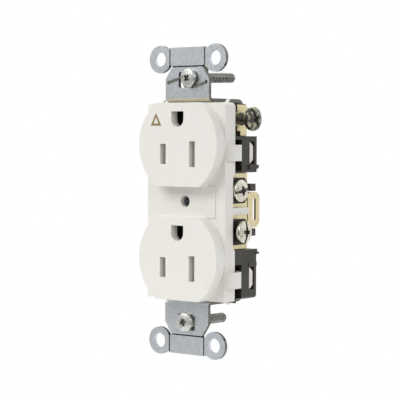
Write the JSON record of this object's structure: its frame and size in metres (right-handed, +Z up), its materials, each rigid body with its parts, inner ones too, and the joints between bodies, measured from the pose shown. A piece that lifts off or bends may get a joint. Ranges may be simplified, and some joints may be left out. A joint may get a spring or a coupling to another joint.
{
  "type": "duplex wall outlet",
  "caption": "Grounding duplex wall outlet with white moulded cover, black base, wraparound steel strap with plaster ears, side wiring terminals and an isolated ground screw.",
  "frame": {"origin": "middle of the plane where the backs of the strap ears rest on the wall, on the axis of the centre wall plate screw", "axes": "+X right seen from the room, +Y into the wall, +Z up with the ground pins uppermost"},
  "size_m": [0.0389, 0.0279, 0.1072],
  "materials": {
    "cover_nylon": "satin moulded white nylon",
    "mark_ink": "flat olive gold fill",
    "base_nylon": "satin moulded charcoal nylon",
    "strap_zinc": "zinc plated steel sheet",
    "rivet_zinc": "zinc plated steel",
    "staple_wire": "bright spring wire",
    "contact_brass": "pale rolled brass",
    "clamp_black": "black oxide steel",
    "screw_nickel": "nickel plated steel",
    "screw_brass": "brass plated steel",
    "screw_green": "dark green dyed plating",
    "screw_zinc": "zinc plated steel",
    "washer_fibre": "pressed fibre"
  },
  "bodies": {
    "outlet_body": {"face_cover": "cover_nylon", "ground_mark": "mark_ink", "back_body": "base_nylon", "mounting_strap": "strap_zinc", "grounding_staple": "staple_wire", "centre_rivet": "rivet_zinc", "neutral_contact": "contact_brass", "hot_contact": "contact_brass", "ground_contact": "contact_brass"},
    "neutral_upper_clamp": {"neutral_clamp_upper": "clamp_black"},
    "neutral_upper_screw": {"neutral_screw_upper": "screw_nickel"},
    "neutral_lower_clamp": {"neutral_clamp_lower": "clamp_black"},
    "neutral_lower_screw": {"neutral_screw_lower": "screw_nickel"},
    "hot_upper_clamp": {"hot_clamp_upper": "clamp_black"},
    "hot_upper_screw": {"hot_screw_upper": "screw_brass"},
    "hot_lower_clamp": {"hot_clamp_lower": "clamp_black"},
    "hot_lower_screw": {"hot_screw_lower": "screw_brass"},
    "ground_clamp_washer": {"ground_washer": "screw_green"},
    "ground_terminal_screw": {"ground_screw": "screw_green"},
    "top_washer": {"retaining_washer_top": "washer_fibre"},
    "top_mounting_screw": {"mounting_screw_top": "screw_zinc"},
    "bottom_washer": {"retaining_washer_bottom": "washer_fibre"},
    "bottom_mounting_screw": {"mounting_screw_bottom": "screw_zinc"}
  },
  "joints": [
    {"name": "neutral_upper_travel", "type": "slide", "parent": "outlet_body", "child": "neutral_upper_clamp", "axis": [1, 0, 0], "range_m": [-0.00079, 0.00159]},
    {"name": "neutral_upper_turn", "type": "hinge", "parent": "neutral_upper_clamp", "child": "neutral_upper_screw", "pos_m": [0.0166, 0.0066, 0.00385], "axis": [1, 0, 0], "range_deg": [-360, 720]},
    {"name": "neutral_lower_travel", "type": "slide", "parent": "outlet_body", "child": "neutral_lower_clamp", "axis": [1, 0, 0], "range_m": [-0.00099, 0.00119]},
    {"name": "neutral_lower_turn", "type": "hinge", "parent": "neutral_lower_clamp", "child": "neutral_lower_screw", "pos_m": [0.0182, 0.0066, -0.01025], "axis": [1, 0, 0], "range_deg": [-450, 540]},
    {"name": "hot_upper_travel", "type": "slide", "parent": "outlet_body", "child": "hot_upper_clamp", "axis": [-1, 0, 0], "range_m": [0, 0.00238]},
    {"name": "hot_upper_turn", "type": "hinge", "parent": "hot_upper_clamp", "child": "hot_upper_screw", "pos_m": [-0.0158, 0.0066, 0.00385], "axis": [-1, 0, 0], "range_deg": [0, 1080]},
    {"name": "hot_lower_travel", "type": "slide", "parent": "outlet_body", "child": "hot_lower_clamp", "axis": [-1, 0, 0], "range_m": [0, 0.00238]},
    {"name": "hot_lower_turn", "type": "hinge", "parent": "hot_lower_clamp", "child": "hot_lower_screw", "pos_m": [-0.0158, 0.0066, -0.01025], "axis": [-1, 0, 0], "range_deg": [0, 1080]},
    {"name": "ground_travel", "type": "slide", "parent": "outlet_body", "child": "ground_clamp_washer", "axis": [1, 0, 0], "range_m": [-0.00357, 0.00079]},
    {"name": "ground_turn", "type": "hinge", "parent": "ground_clamp_washer", "child": "ground_terminal_screw", "pos_m": [0.0183, 0.0114, 0.0283], "axis": [1, 0, 0], "range_deg": [-1620, 360]},
    {"name": "top_play", "type": "slide", "parent": "outlet_body", "child": "top_washer", "axis": [-0.0499, -0.9983, -0.0299], "range_m": [0, 0.0026]},
    {"name": "top_turn", "type": "hinge", "parent": "top_washer", "child": "top_mounting_screw", "pos_m": [0.00145, -0.0016, 0.04225], "axis": [-0.0499, -0.9983, -0.0299], "continuous": true},
    {"name": "bottom_play", "type": "slide", "parent": "outlet_body", "child": "bottom_washer", "axis": [0.0449, -0.9988, 0.02], "range_m": [0, 0.0026]},
    {"name": "bottom_turn", "type": "hinge", "parent": "bottom_washer", "child": "bottom_mounting_screw", "pos_m": [0, -0.0016, -0.04165], "axis": [0.0449, -0.9988, 0.02], "continuous": true}
  ],
  "couplings": [
    {"joint": "neutral_upper_turn", "follows": "neutral_upper_travel", "rad_per_m": 7913.3},
    {"joint": "neutral_lower_turn", "follows": "neutral_lower_travel", "rad_per_m": 7913.3},
    {"joint": "hot_upper_turn", "follows": "hot_upper_travel", "rad_per_m": 7913.3},
    {"joint": "hot_lower_turn", "follows": "hot_lower_travel", "rad_per_m": 7913.3},
    {"joint": "ground_turn", "follows": "ground_travel", "rad_per_m": 7913.3}
  ]
}
